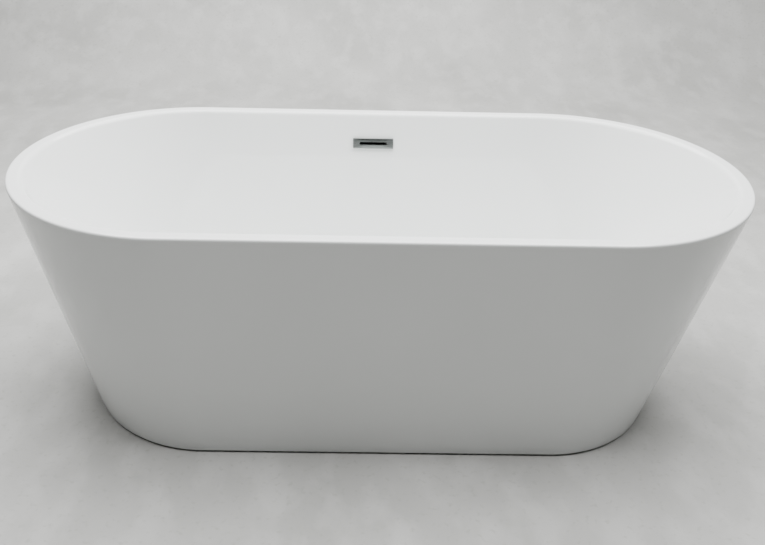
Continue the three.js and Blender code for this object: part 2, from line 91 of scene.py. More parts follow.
# ---- Outer skirt ----
# One sheet of white acrylic, 5 mm thick, vacuum formed and backed with resin. It leans in towards the floor and its
# upper edge is bonded under the basin's lip.
LENGTH, WIDTH = cad_box[1].x - cad_box[0].x, cad_box[1].y - cad_box[0].y
HEIGHT = cad_box[1].z
EDGE_ROUND = 0.006  # outer edge of the rim deck
LIP_DEPTH = 0.014  # down-turned edge of the deck
SKIRT_WALL = 0.005
SKIRT_SEAM = 0.0001  # the polished joint between the lip and the skirt
FOOT_ROUND = 0.002  # at the skirt's lower edge
END_STEPS, SIDE_STEPS = 120, 30

# An outline has two straight sides and two half-elliptical ends: half the length of a side, the length of an end,
# half the width, and the height it lies at.
RIM_OUTLINE = np.array([LENGTH / 2 - WIDTH / 2, WIDTH / 2, WIDTH / 2, HEIGHT])
WIDEST_OUTLINE = RIM_OUTLINE - [0, 0, 0, EDGE_ROUND]
BASE_OUTLINE = np.array([1.412 / 2 - 0.310, 0.310, 0.674 / 2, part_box("outer_skirt")[0].z])


def rings(outlines):
    """Points of outlines as a grid, one row to an outline: x is the straight half-length times a factor that stays
    at 1 and -1 round the ends and runs evenly between them along the sides, plus the end's length times the cosine
    of the turn, and y is the half width times the sine of the turn."""
    quarter = pi / 2
    turn = np.concatenate([
        np.linspace(-quarter, quarter, END_STEPS, endpoint=False), np.full(SIDE_STEPS, quarter),
        np.linspace(quarter, 3 * quarter, END_STEPS, endpoint=False), np.full(SIDE_STEPS, -quarter),
    ])
    along = np.concatenate([
        np.ones(END_STEPS), np.linspace(1, -1, SIDE_STEPS, endpoint=False),
        -np.ones(END_STEPS), np.linspace(-1, 1, SIDE_STEPS, endpoint=False),
    ])
    straight, end, half, z = np.atleast_2d(outlines).T[..., None]
    return np.stack([straight * along + end * np.cos(turn), half * np.sin(turn), z + 0 * turn], axis=-1)


def inset(outline, depth):
    """The outline drawn in by a depth, which may be an array with one depth to a row."""
    return outline - np.multiply.outer(depth, [0, 1, 1, 0])


def between(outline_a, outline_b, z):
    """Outlines at heights z on the straight line from outline a to outline b."""
    share = (np.asarray(z) - outline_a[3]) / (outline_b[3] - outline_a[3])
    return outline_a + np.multiply.outer(share, outline_b - outline_a)


def softened(points, radius, steps=4, closed=True):
    """A profile whose corners are replaced by quadratic curves that start and end a radius away from them, or half
    way along a shorter side. A radius may be given for each corner, and an open profile keeps its two ends."""
    points = np.array(points, float)
    radius = np.broadcast_to(np.asarray(radius, float), len(points)).copy()
    if not closed:
        radius[[0, -1]] = 0
    towards = np.stack([np.roll(points, 1, 0), np.roll(points, -1, 0)]) - points
    length = np.linalg.norm(towards, axis=-1, keepdims=True)
    reach = np.minimum(radius[:, None], length / 2)
    start, end = points + towards / np.maximum(length, 1e-9) * reach
    t = np.linspace(0, 1, steps + 1)[:, None, None]
    curve = (1 - t) ** 2 * start + 2 * t * (1 - t) * points + t**2 * end
    return curve.transpose(1, 0, 2).reshape(-1, 2)


def surface(name, grid, wrap=(True, True), sharp=40):
    """A mesh over a grid of points: every cell is one quad, and the rows or the columns close on themselves where
    wrap says so. Points that coincide are merged, and a quad pinched at a pole becomes a triangle. Faces are turned
    outwards by the sign of the volume they enclose, and edges sharper than an angle in degrees stay crisp."""
    rows, columns = grid.shape[:2]
    last_row, last_column = rows - (not wrap[0]), columns - (not wrap[1])
    i, j = np.meshgrid(np.arange(last_row), np.arange(last_column), indexing="ij")
    below, right = (i + 1) % rows, (j + 1) % columns
    quads = np.stack([i * columns + j, i * columns + right, below * columns + right, below * columns + j], -1)
    points, same = np.unique(np.round(grid.reshape(-1, 3), 7), axis=0, return_inverse=True)
    quads = same.reshape(-1)[quads.reshape(-1, 4)]
    a, b, c, d = points[quads].transpose(1, 0, 2)
    if np.sum(np.cross(c - a, d - b) * (a + b + c + d)) < 0:
        quads = quads[:, ::-1]
    repeated = quads == np.roll(quads, 1, axis=1)
    pinched = repeated.sum(1) == 1
    triangles = quads[pinched][~repeated[pinched]].reshape(-1, 3)
    mesh = bpy.data.meshes.new(name)
    mesh.from_pydata(points, [], quads[~repeated.any(1)].tolist() + triangles.tolist())
    mesh.validate()
    mesh.shade_smooth()
    mesh.set_sharp_from_angle(angle=radians(sharp))
    piece = bpy.data.objects.new(name, mesh)
    bpy.context.scene.collection.objects.link(piece)
    return piece


def fit(piece, finish, slot, body, *nodes):
    """Gives a piece its finish, hides the CAD parts that it stands for, and sets it on its body."""
    piece.data.materials.append(finish)
    if nodes:
        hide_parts(*nodes)
    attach(piece, body)


class Wire:
    """An output socket of a finish. Arithmetic on it adds Math nodes."""

    def __init__(self, finish, socket):
        self.finish, self.socket = finish, socket

    def math(self, operation, *values):
        return self.finish.node("ShaderNodeMath", {"operation": operation}, dict(enumerate(values)))

    def __add__(self, other):
        return self.math("ADD", self, other)

    def __rsub__(self, other):
        return self.math("SUBTRACT", other, self)

    def __mul__(self, other):
        return self.math("MULTIPLY", self, other)

    __radd__, __rmul__ = __add__, __mul__


class Finish:
    """A material built from node() calls. The arguments of shader() are Principled BSDF sockets: a plain value is
    set on the socket and a Wire is linked to it."""

    def __init__(self, name):
        self.material = bpy.data.materials.new(name)
        self.material.use_nodes = True
        self.tree = self.material.node_tree
        self.place = Wire(self, self.tree.nodes.new("ShaderNodeTexCoord").outputs["Object"])

    def node(self, kind, settings=None, sockets=None, output=0):
        """Adds a node, makes its settings, then fills its sockets with values or Wires, and gives an output."""
        made = self.tree.nodes.new(kind)
        for key, value in (settings or {}).items():
            if key == "stops":
                for stop, (position, color) in zip(self.stops(made.color_ramp, len(value)), value):
                    stop.position, stop.color = position, color
            else:
                setattr(made, key, value)
        for key, value in (sockets or {}).items():
            if isinstance(value, Wire):
                self.tree.links.new(value.socket, made.inputs[key])
            else:
                made.inputs[key].default_value = value
        return Wire(self, made.outputs[output])

    def stops(self, ramp, count):
        while len(ramp.elements) < count:
            ramp.elements.new(0.5)
        return ramp.elements

    def noise(self, scale, detail=2, stretch=(1, 1, 1)):
        """Cloudy values from 0 to 1 with a scale in waves per metre, stretched along the axes."""
        where = self.node("ShaderNodeMapping", {}, {"Vector": self.place, "Scale": stretch})
        return self.node("ShaderNodeTexNoise", {}, {"Vector": where, "Scale": scale, "Detail": detail})

    def blend(self, share, color_a, color_b):
        """Colour a where the share is 0, colour b where it is 1."""
        settings = {"data_type": "RGBA"}
        return self.node("ShaderNodeMix", settings, {"Factor": share, "A": color_a, "B": color_b}, output=2)

    def ramp(self, value, *stops):
        """A grey value remapped through (position, grey) stops."""
        colors = [(position, (grey, grey, grey, 1)) for position, grey in stops]
        return self.node("ShaderNodeValToRGB", {"stops": colors}, {"Fac": value})

    def bumps(self, height, depth, strength=1.0):
        return self.node("ShaderNodeBump", {}, {"Height": height, "Distance": depth, "Strength": strength})

    def shader(self, **sockets):
        bsdf = self.tree.nodes["Principled BSDF"]
        for key, value in sockets.items():
            target = bsdf.inputs[key.replace("_", " ")]
            if isinstance(value, Wire):
                self.tree.links.new(value.socket, target)
            else:
                target.default_value = value
        return self.material


def acrylic_finish():
    """Polished white acrylic: faint clouds in its white, a slow wave and fine orange peel in its gloss, and patches
    that wiping has left a little duller."""
    finish = Finish("white_acrylic")
    clouds = finish.noise(2.2, 3)
    smears = finish.ramp(finish.noise(7, 5, (1, 1, 2.5)), (0.42, 0), (0.7, 1))
    slow_wave = finish.noise(5, 1)
    peel = finish.noise(420, 2)
    white = finish.blend(clouds, (0.845, 0.862, 0.852, 1), (0.875, 0.892, 0.882, 1))
    gloss = 0.035 + 0.045 * smears
    height = 1.0 * slow_wave + 0.004 * peel
    return finish.shader(
        Base_Color=white, Roughness=gloss, IOR=1.49, Normal=finish.bumps(height, 0.0022, 0.35)
    )


white_acrylic = acrylic_finish()


def skirt_shell():
    """Outer face from the foot up, over the top edge, down the inner face and round the foot, whose two corners are
    softened: each row is an outline at a height and a depth behind the outer face."""
    foot, head = BASE_OUTLINE[3], HEIGHT - LIP_DEPTH - SKIRT_SEAM
    corners = [(0, foot), (0, head), (SKIRT_WALL, head), (SKIRT_WALL, foot)]
    corners = softened(corners, [FOOT_ROUND, 0, 0, FOOT_ROUND])
    levels = np.linspace(foot, head, 25)[1:-1]
    face = np.stack([0 * levels, levels], -1)
    back = np.stack([0 * levels + SKIRT_WALL, levels[::-1]], -1)
    profile = np.concatenate([corners[:5], face, corners[5:15], back, corners[15:]])
    return rings(inset(between(WIDEST_OUTLINE, BASE_OUTLINE, profile[:, 1]), profile[:, 0]))


skirt = surface("skirt_shell", skirt_shell())
fit(skirt, white_acrylic, "acrylic", "tub", "outer_skirt")


# ---- Inner basin ----
# The bathing shell, one vacuum-formed sheet: lip, flat deck, straight walls that slope in, a wide cove, and a floor
# that falls gently to a recess for the waste. A slot in the rear wall opens into the overflow.
DECK_WIDTH = 0.032
INNER_ROUND = {"across": 0.008, "down": 0.011}
BASIN_WALL = 0.0055
COVE = {"wall": 0.090, "floor_share": 0.32}
DRAIN = {"x": 0.0, "y": 0.095, "z": 0.143, "hole": 0.026, "recess": 0.0365, "depth": 0.004}
RECESS_EASE = 0.0008
WALL_TOP = inset(RIM_OUTLINE, DECK_WIDTH)
FLOOR_OUTLINE = np.array([1.160 / 2 - 0.230, 0.230, 0.500 / 2, 0.150])


def bend(a, b, c, steps):
    """Rows from a to c that leave along a-b and arrive along b-c: (1-t)^2 a + 2 t (1-t) b + t^2 c."""
    t = np.linspace(0, 1, steps + 1)[:, None, None]
    return (1 - t) ** 2 * a + 2 * t * (1 - t) * b + t**2 * c


def run(a, b, steps):
    """Evenly spaced rows strictly between a and b."""
    t = np.linspace(0, 1, steps + 2)[1:-1, None, None]
    return (1 - t) * a + t * b


def drain_ring(radius, z):
    """A circle about the drain with as many points as an outline, starting from the same side."""
    turn = np.linspace(-pi / 2, 3 * pi / 2, 2 * (END_STEPS + SIDE_STEPS), endpoint=False)
    x, y = DRAIN["x"] + radius * np.cos(turn), DRAIN["y"] + radius * np.sin(turn)
    return np.stack([x, y, z + 0 * turn], -1)[None]


def basin_top():
    """The seen face of the basin, row by row from the foot of its lip to the hole for the waste."""
    lip_foot = rings(between(WIDEST_OUTLINE, BASE_OUTLINE, HEIGHT - LIP_DEPTH))
    lip_head = rings(WIDEST_OUTLINE)
    deck_outer = rings(inset(RIM_OUTLINE, EDGE_ROUND))
    deck_inner = rings(inset(RIM_OUTLINE, DECK_WIDTH - INNER_ROUND["across"]))
    wall_head = rings(between(WALL_TOP, FLOOR_OUTLINE, HEIGHT - INNER_ROUND["down"]))
    cove_head = rings(between(WALL_TOP, FLOOR_OUTLINE, FLOOR_OUTLINE[3] + COVE["wall"]))
    floor_corner = rings(FLOOR_OUTLINE)
    edge, seat = DRAIN["recess"], DRAIN["z"] - DRAIN["depth"]
    recess_edge = drain_ring(edge + RECESS_EASE, DRAIN["z"])
    cove_foot = floor_corner + (recess_edge - floor_corner) * COVE["floor_share"]
    return np.concatenate([
        lip_foot, run(lip_foot, lip_head, 2),
        bend(lip_head, rings(RIM_OUTLINE), deck_outer, 8), run(deck_outer, deck_inner, 3),
        bend(deck_inner, rings(WALL_TOP), wall_head, 10), run(wall_head, cove_head, 22),
        bend(cove_head, floor_corner, cove_foot, 26), run(cove_foot, recess_edge, 20),
        bend(recess_edge, drain_ring(edge, DRAIN["z"]), drain_ring(edge, DRAIN["z"] - RECESS_EASE), 4),
        drain_ring(edge, seat), drain_ring(DRAIN["hole"], seat),
    ])


def offset(grid, depth):
    """Each point moved by a depth against the surface's normal, which is the cross product of the differences
    between its neighbours along the columns and along the rows."""
    down = np.gradient(grid, axis=0)
    around = np.roll(grid, -1, 1) - np.roll(grid, 1, 1)
    normal = np.cross(down, around)
    return grid + depth * normal / np.linalg.norm(normal, axis=-1, keepdims=True)


def basin_shell():
    """The top face, and an under face one wall below it that is stepped round the recess."""
    top = basin_top()
    under = offset(top[:-6], BASIN_WALL)
    under[0, :, 2] = top[0, :, 2]
    seat = DRAIN["z"] - DRAIN["depth"] - BASIN_WALL
    ring = DRAIN["recess"] + BASIN_WALL
    step = [drain_ring(DRAIN["hole"], seat), drain_ring(ring, seat), drain_ring(ring, DRAIN["z"] - BASIN_WALL)]
    return np.concatenate([top, *step, under[::-1]])


# The overflow's place on the rear wall: local x along the tub, -y out of the wall into the basin, z up the wall.
OVERFLOW_Z = 0.502
OVERFLOW_HOLE = {"width": 0.092, "height": 0.015, "corner": 0.0074}
WALL_LEAN = np.arctan2(WALL_TOP[2] - FLOOR_OUTLINE[2], HEIGHT - FLOOR_OUTLINE[3])
OVERFLOW_Y = between(WALL_TOP, FLOOR_OUTLINE, OVERFLOW_Z)[2]


def on_wall(points):
    """Points in the overflow's place turned by the wall's lean and moved to the tub's frame."""
    x, y, z = np.moveaxis(np.asarray(points, float), -1, 0)
    lean = WALL_LEAN
    turned_y = y * cos(lean) + z * sin(lean)
    turned_z = -y * sin(lean) + z * cos(lean)
    return np.stack([x, turned_y + OVERFLOW_Y, turned_z + OVERFLOW_Z], -1)


def rounded_loop(width, height, corner, steps=6):
    """A closed loop of (x, z) points round a rectangle with softened corners."""
    w, h = width / 2, height / 2
    return softened([(w, -h), (w, h), (-w, h), (-w, -h)], corner, steps)


def prism(loop, levels):
    """A closed prism over a loop of points in x and z: the rows run from the loop's middle out over the front, back
    along the sides and in again, and levels are its (inset, y) steps from front to back."""
    x, z = loop.T
    rows = [np.stack([x * 0, x * 0 + levels[0][1], z * 0], -1)]
    half = loop.max(0)
    for depth, y in levels:
        share = 1 - depth / half
        rows.append(np.stack([x * share[0], x * 0 + y, z * share[1]], -1))
    rows.append(np.stack([x * 0, x * 0 + levels[-1][1], z * 0], -1))
    return np.stack(rows)


def worked(piece, *tools, operation="DIFFERENCE", sharp=40):
    """Cuts the tools' solids out of a piece, or joins them to it, and applies the result to the piece's mesh."""
    for tool in tools:
        step = piece.modifiers.new(tool.name, "BOOLEAN")
        step.operation, step.solver, step.object = operation, "EXACT", tool
    evaluated = piece.evaluated_get(bpy.context.evaluated_depsgraph_get())
    shaped = bpy.data.meshes.new_from_object(evaluated)
    piece.modifiers.clear()
    piece.data = shaped
    shaped.shade_smooth()
    shaped.set_sharp_from_angle(angle=radians(sharp))
    for tool in tools:
        bpy.data.objects.remove(tool)
    return piece


def wall_prism(name, loop, *levels, x=0.0):
    """A prism set in the overflow's place on the wall, or to one side of it."""
    return surface(name, on_wall(prism(loop, levels) + [x, 0, 0]), wrap=(False, True))


basin = surface("basin_shell", basin_shell())
worked(basin, wall_prism("overflow_hole", rounded_loop(**OVERFLOW_HOLE), (0, -0.02), (0, 0.02)))
fit(basin, white_acrylic, "acrylic", "tub", "inner_basin")


# ---- Bonding strip and floor board ----
# A band of chopped glass fibre in resin ties the lip to the skirt from behind. A plywood board, laminated on with
# the same resin, stiffens the floor and takes the frame's rails.
PLY_PAIR = 0.0028  # a light ply and a dark one


def laminate_finish():
    """Straw-coloured resin over short crossing fibres, glossy where the resin is rich."""
    finish = Finish("glass_fibre_laminate")
    fibres = [
        finish.ramp(finish.noise(90, 3, stretch), (0.44, 0), (0.50, 1), (0.56, 0))
        for stretch in ((1, 7, 3), (7, 1, 3), (3, 5, 1))
    ]
    mat = fibres[0].math("MAXIMUM", fibres[0].math("MAXIMUM", *fibres[:2]), fibres[2])
    tint = finish.blend(finish.noise(14, 4), (0.42, 0.36, 0.20, 1), (0.60, 0.56, 0.40, 1))
    color = finish.blend(mat * 0.6, tint, (0.78, 0.77, 0.68, 1))
    return finish.shader(
        Base_Color=color, Roughness=0.25 + 0.35 * mat, IOR=1.53, Normal=finish.bumps(mat, 0.0006, 0.8)
    )


laminate = laminate_finish()


def bonding_strip():
    """A softened band behind the skirt and lip: each row is an outline at a height and a depth that waver with two
    cosines along the strip, as resin laid by hand does."""
    low, high = (corner.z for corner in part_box("rim_bonding_strip"))
    front, back = 0.0058, 0.0098
    profile = softened([(front, low), (front, high), (back, high), (back, low)], 0.0015)
    grid = rings(inset(between(WIDEST_OUTLINE, BASE_OUTLINE, profile[:, 1]), profile[:, 0]))
    way = np.linspace(0, tau, grid.shape[1], endpoint=False)
    low_edge = (profile[:, 1] < (low + high) / 2)[:, None]
    grid[..., 2] += low_edge * (0.0012 * np.cos(31 * way) + 0.0008 * np.cos(74 * way))
    return grid


fit(surface("glass_fibre_bond", bonding_strip()), laminate, "laminate", "tub", "rim_bonding_strip")


def plywood_finish():
    """Birch plywood: long grain on the faces, light and dark plies by height on the edges, under a coat of resin
    that has run unevenly."""
    finish = Finish("resined_plywood")
    grain = finish.noise(34, 7, (0.12, 1, 0.4))
    year_rings = finish.noise(9, 3, (0.25, 1, 1))
    year_rings = finish.ramp(year_rings, (0.40, 0), (0.48, 1), (0.52, 0.2), (0.6, 0.8))
    height = finish.node("ShaderNodeSeparateXYZ", {}, {"Vector": finish.place}, output=2)
    plies = height.math("FRACT", height * (1 / PLY_PAIR))
    edge = finish.ramp(plies, (0.42, 0), (0.52, 1))
    wood = finish.blend(grain * 0.7 + year_rings * 0.3, (0.36, 0.21, 0.09, 1), (0.62, 0.43, 0.23, 1))
    layered = finish.blend(edge * 0.35, wood, (0.26, 0.14, 0.06, 1))
    resin = finish.ramp(finish.noise(11, 4), (0.35, 0), (0.65, 1))
    return finish.shader(
        Base_Color=layered, Roughness=0.3 + 0.35 * resin, Normal=finish.bumps(grain, 0.0004, 0.5)
    )


def floor_board():
    """A flat ring of rows between the board's outline and the round cut-out for the waste, with eased edges."""
    low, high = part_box("floor_board")
    end, cutout, ease = 0.180, 0.056, 0.0012
    z = [low.z, low.z + ease, high.z - ease, high.z]
    outline = np.array([high.x - end, end, high.y, 0])
    rim = rings(inset(outline, np.array([ease, 0, 0, ease]))) + np.array(z)[:, None, None] * [0, 0, 1]
    hole = np.concatenate([drain_ring(cutout + d, level) for d, level in zip([ease, 0, 0, ease], z)])
    return np.concatenate([rim, run(rim[-1:], hole[-1:], 8), hole[::-1], run(hole[:1], rim[:1], 8)])


fit(surface("plywood_board", floor_board()), plywood_finish(), "plywood", "tub", "floor_board")


# ---- Steel frame ----
# Two rails, four cross tubes and a short centre beam of 30 mm square tube, welded and then hot-dip galvanised. Four
# bent strips reach out from under the rails and are bonded to the skirt.
TUBE_WALL, TUBE_CORNER = 0.002, 0.003
STUD_HOLE = 0.0066
BOND_GAP = 0.0006  # resin between a bracket and the skirt


def middle_of(node):
    """The middle of a solid's box."""
    low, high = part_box(node)
    return (low + high) / 2


FOOT_NAMES = "front_left", "front_right", "rear_left", "rear_right", "center"
FEET = {name: middle_of(f"foot_pad_{name}") for name in FOOT_NAMES}


def galvanised_finish():
    """Zinc spangle: flat crystals of slightly different grey and gloss, with faint white bloom."""
    finish = Finish("galvanised_steel")
    crystals = finish.node(
        "ShaderNodeTexVoronoi", {"feature": "F1"}, {"Vector": finish.place, "Scale": 130.0}, output=1
    )
    tone = finish.node("ShaderNodeSeparateColor", {}, {"Color": crystals})
    bloom = finish.ramp(finish.noise(24, 6), (0.48, 0), (0.72, 1))
    grey = finish.blend(tone, (0.30, 0.32, 0.33, 1), (0.46, 0.48, 0.49, 1))
    return finish.shader(
        Base_Color=finish.blend(bloom * 0.5, grey, (0.62, 0.63, 0.62, 1)),
        Metallic=1 - 0.6 * bloom,
        Roughness=0.32 + 0.2 * tone + 0.2 * bloom,
        Normal=finish.bumps(tone, 0.00012, 0.5),
    )


galvanised = galvanised_finish()


def turned(name, profile, steps=64, at=(0, 0), wrap=True, sharp=40):
    """A (radius, height) profile carried round an upright axis. It closes on itself, or starts and ends on the axis
    where wrap is off."""
    radius, z = np.array(profile, float).T[..., None]
    turn = np.linspace(0, tau, steps, endpoint=False)
    grid = np.stack([at[0] + radius * np.cos(turn), at[1] + radius * np.sin(turn), z + 0 * turn], -1)
    return surface(name, grid, wrap=(wrap, True), sharp=sharp)


def square_tube(node):
    """A softened square loop and the loop of its bore, both run from one end of the node's box to the other."""
    low, high = map(np.array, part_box(node))
    along = int(np.argmax(high - low))
    size = (high - low)[2]
    outer = softened([(-1, -1), (1, -1), (1, 1), (-1, 1)] * np.array(size / 2), TUBE_CORNER, 5)
    inner = outer * (1 - 2 * TUBE_WALL / size)
    across = np.stack([outer, outer, inner, inner])
    ends = np.array([low, high, high, low])[:, along, None] + 0 * across[..., 0]
    middle = (low + high) / 2
    side, up = across[..., 0] + middle[1 - along], across[..., 1] + middle[2]
    return np.stack([ends, side, up] if along == 0 else [side, ends, up], -1)


def drill(foot, at, z):
    """A round cutter through the under side of a tube, where a foot's stud goes up."""
    low, high = z - 0.01, z + 0.01
    return turned(f"drill_{foot}", [(0, low), (STUD_HOLE, low), (STUD_HOLE, high), (0, high)], 32, at, wrap=False)


TUBES = [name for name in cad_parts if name.endswith(("_rail", "_beam")) or name.startswith("cross_tube")]
for node in TUBES:
    tube = surface(f"{node}_tube", square_tube(node))
    low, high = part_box(node)
    drills = [
        drill(foot, at, low.z) for foot, at in FEET.items() if low.x < at.x < high.x and low.y < at.y < high.y
    ]
    if drills:
        worked(tube, *drills)
    fit(tube, galvanised, "galvanised_steel", "tub", node)


def weld(at, along):
    """A ripple of weld metal round a square tube's end: a small circle whose radius swells and shrinks along the
    tube's perimeter, carried round that perimeter."""
    half = 0.0152  # just outside the tube's faces
    path = softened([(-1, -1), (1, -1), (1, 1), (-1, 1)] * np.array(half), TUBE_CORNER, 6)
    path = np.concatenate([path + (np.roll(path, -1, 0) - path) * t for t in (0, 0.25, 0.5, 0.75)])
    path = path[np.argsort(np.arctan2(path[:, 1], path[:, 0]))]
    way = np.linspace(0, tau, len(path), endpoint=False)[:, None]
    ring = np.linspace(0, tau, 10, endpoint=False)
    radius = 0.0019 + 0.0003 * np.sin(60 * way)
    grow = 1 + radius * np.cos(ring) / half
    first, up = path[:, :1] * grow, path[:, 1:] * grow
    axis = radius * np.sin(ring)
    shape = [axis, first, up] if along == 0 else [first, axis, up]
    return np.stack(shape, -1) + np.array(at)


rails = [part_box("front_rail")[1].y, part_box("rear_rail")[0].y]
beam_low, beam_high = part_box("center_beam")
tube_z = (beam_low.z + beam_high.z) / 2
joints = [
    (((low.x + high.x) / 2, y, tube_z), 1)
    for low, high in (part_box(node) for node in TUBES if node.startswith("cross_tube"))
    for y in rails
]
joints += [((x, (beam_low.y + beam_high.y) / 2, tube_z), 0) for x in (beam_low.x, beam_high.x)]
for number, (at, along) in enumerate(joints, 1):
    fit(surface(f"weld_{number}", weld(at, along)), galvanised, "galvanised_steel", "tub")


def carried(name, path, section, middle_x):
    """A section of (x, out) points carried along a path of (y, z) points in an upright plane, out being measured
    square to the path. Both ends are closed."""
    way = np.gradient(path, axis=0)
    out = np.stack([-way[:, 1], way[:, 0]], -1) / np.linalg.norm(way, axis=1, keepdims=True)
    flat = path[:, None] + section[:, 1:] * out[:, None]
    x = np.broadcast_to(section[:, :1] + middle_x, flat[..., :1].shape)
    grid = np.concatenate([x, flat], -1)
    tips = np.concatenate([np.full((2, 1), middle_x), path[[0, -1]]], -1)[:, None] + 0 * grid[:2]
    return surface(name, np.concatenate([tips[:1], grid, tips[1:]]), wrap=(False, True))


def behind_skirt(z, thick):
    """How far from the tub's middle plane a strip's middle lies, bonded to the back of the skirt at height z."""
    return between(WIDEST_OUTLINE, BASE_OUTLINE, z)[2] - SKIRT_WALL - BOND_GAP - thick / 2


def skirt_bracket(node):
    """A strip 40 mm wide and 3 mm thick that runs out level and then up the skirt, with a bend between."""
    low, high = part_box(node)
    side = 1 if high.y > 0 else -1
    width, thick, bend_r, ease = high.x - low.x, 0.003, 0.008, 0.0006
    inner, base = min(abs(low.y), abs(high.y)), low.z + thick / 2
    path = [(inner, base), (behind_skirt(base, thick), base), (behind_skirt(high.z, thick), high.z)]
    path = softened(np.array(path) * [side, 1], bend_r, 12, closed=False)
    _, first = np.unique(np.round(path, 6), axis=0, return_index=True)
    section = rounded_loop(width, thick, ease, 2)
    return carried(f"{node}_strip", path[np.sort(first)], section, (low.x + high.x) / 2)


for node in [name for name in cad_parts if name.startswith("skirt_bracket")]:
    fit(skirt_bracket(node), galvanised, "galvanised_steel", "tub", node)


# ---- Levelling feet ----
# Each is a zinc-plated M12 stud that turns in a moulded pad, screws up through a bush welded under the frame, and
# is fixed there by a lock nut. The hexagon near the pad takes a spanner.
PITCH, THREAD_DEPTH = 0.00175, 0.00105
STUD_R = 0.006


def moulded_finish(name, dark, light):
    """Moulded plastic with a fine sparked grain and a slight bloom in its colour."""
    finish = Finish(name)
    return finish.shader(
        Base_Color=finish.blend(finish.noise(30, 4), dark, light),
        Roughness=0.38 + 0.12 * finish.noise(60, 3),
        Normal=finish.bumps(finish.noise(900, 2), 0.00005),
    )


def zinc_finish():
    """Bright zinc plate with fine turning marks and a few dull patches."""
    finish = Finish("zinc_plated_steel")
    marks = finish.noise(260, 3, (1, 1, 6))
    patches = finish.ramp(finish.noise(60, 4), (0.5, 0), (0.75, 1))
    return finish.shader(
        Base_Color=finish.blend(patches, (0.60, 0.61, 0.63, 1), (0.50, 0.49, 0.46, 1)),
        Metallic=1.0,
        Roughness=0.2 + 0.15 * marks + 0.15 * patches,
        Normal=finish.bumps(marks, 0.00003, 0.5),
    )


black_plastic = moulded_finish("black_plastic", (0.012, 0.012, 0.014, 1), (0.024, 0.024, 0.026, 1))
zinc = zinc_finish()


def hexagon(corner_r, turn):
    """Distance from the axis to a hexagon's side, from its corner radius and the turn about the axis."""
    return corner_r * cos(pi / 6) / np.cos((turn % (pi / 3)) - pi / 6)


def hexagon_rows(corner_r, low, high, turn, rows=10):
    """Rows of a hexagon whose ends are turned to a cone, so each row is the smaller of hexagon and cone."""
    z = np.linspace(low, high, rows)
    from_end = np.minimum(z - low, high - z)[:, None]
    cone = corner_r * 0.87 + from_end / np.tan(pi / 6)
    return np.minimum(hexagon(corner_r, turn), cone), z[:, None] + 0 * turn


def thread_rows(low, high, turn, crest=STUD_R, rows_a_turn=8):
    """Rows of a screw thread: the crest radius less a triangle wave of the height over the pitch minus the turn, so
    it climbs one pitch a turn. The wave fades out at both ends."""
    z = np.linspace(low, high, int((high - low) / PITCH * rows_a_turn))[:, None]
    wave = np.abs(2 * ((z / PITCH - turn / tau) % 1) - 1)
    fade = np.clip(np.minimum(z - low, high - z) / PITCH, 0, 1)
    return crest - THREAD_DEPTH * wave * fade, z + 0 * turn


def round_rows(profile, turn):
    """Rows of a turned (radius, height) profile."""
    radius, z = np.array(profile, float).T[..., None]
    return radius + 0 * turn, z + 0 * turn


def spun(name, at, *parts, turn, wrap=False):
    """Joins parts, each a pair of radius and height arrays over rows and turn, into one surface about an axis."""
    radius, z = (np.concatenate(rows) for rows in zip(*parts))
    grid = np.stack([at[0] + radius * np.cos(turn), at[1] + radius * np.sin(turn), z], -1)
    return surface(name, grid, wrap=(wrap, True))


def foot_pad(name, at):
    """A domed disc with a socket, with a rounded edge and a ring of shallow grooves round its slope."""
    rim, edge, hub, top = 0.030, 0.005, 0.018, 0.013
    socket, shoulder, seat = 0.0095, 0.0084, 0.004
    profile = softened(
        [(0, 0), (rim, 0), (rim, edge), (hub, top), (STUD_HOLE, top), (STUD_HOLE, shoulder), (socket, shoulder),
         (socket, seat), (0, seat)],
        [0, 0.001, 0.0015, 0.0015, 0.0005, 0, 0, 0, 0], closed=False,
    )
    turn = np.linspace(0, tau, 96, endpoint=False)
    radius, z = round_rows(profile, turn)
    slope = (radius > 0.0185) & (radius < 0.0285) & (z > 0.004)
    z = z - slope * 0.0006 * (np.cos(24 * turn) > 0.3)
    return spun(f"pad_{name}", at, (radius, z), turn=turn)


def foot_stud(name, at):
    """Ball disc, neck, spanner hexagon, and thread to a chamfered end."""
    turn = np.linspace(0, tau, 48, endpoint=False)
    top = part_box(f"foot_stud_{name}")[1].z
    ball_r, bottom, ball_top, neck_top = 0.009, 0.0043, 0.008, 0.018
    foot = [(0, bottom), (ball_r, bottom), (ball_r, ball_top), (STUD_R, ball_top), (STUD_R, neck_top)]
    foot = softened(foot, 0.0008, 3, closed=False)
    return spun(
        f"stud_{name}", at, round_rows(foot, turn), hexagon_rows(0.011, 0.018, 0.026, turn),
        round_rows([(STUD_R, 0.026), (STUD_R, 0.0265)], turn), thread_rows(0.027, top - 0.0015, turn),
        round_rows([(STUD_R - 0.0015, top), (0, top)], turn), turn=turn,
    )


def lock_nut(name, at):
    """A chamfered hexagon nut; the bore's rows run back down inside."""
    turn = np.linspace(0, tau, 72, endpoint=False)
    low, high = (corner.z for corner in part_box(f"foot_lock_nut_{name}"))
    mouth = STUD_HOLE + 0.0008
    bore = [(mouth, high), (STUD_HOLE, high - 0.0008), (STUD_HOLE, low + 0.0008), (mouth, low)]
    parts = hexagon_rows(0.0109, low, high, turn), round_rows(bore, turn)
    return spun(f"nut_{name}", at, *parts, turn=turn, wrap=True)


def foot_bush(name, at):
    """A short round boss with eased edges, drilled for the stud."""
    low, high = (corner.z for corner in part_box(f"foot_bush_{name}"))
    outer = 0.012
    corners = [(outer, low), (outer, high), (STUD_HOLE, high), (STUD_HOLE, low)]
    return turned(f"bush_{name}", softened(corners, [0.001, 0.0003, 0.0003, 0.001]), 48, at)


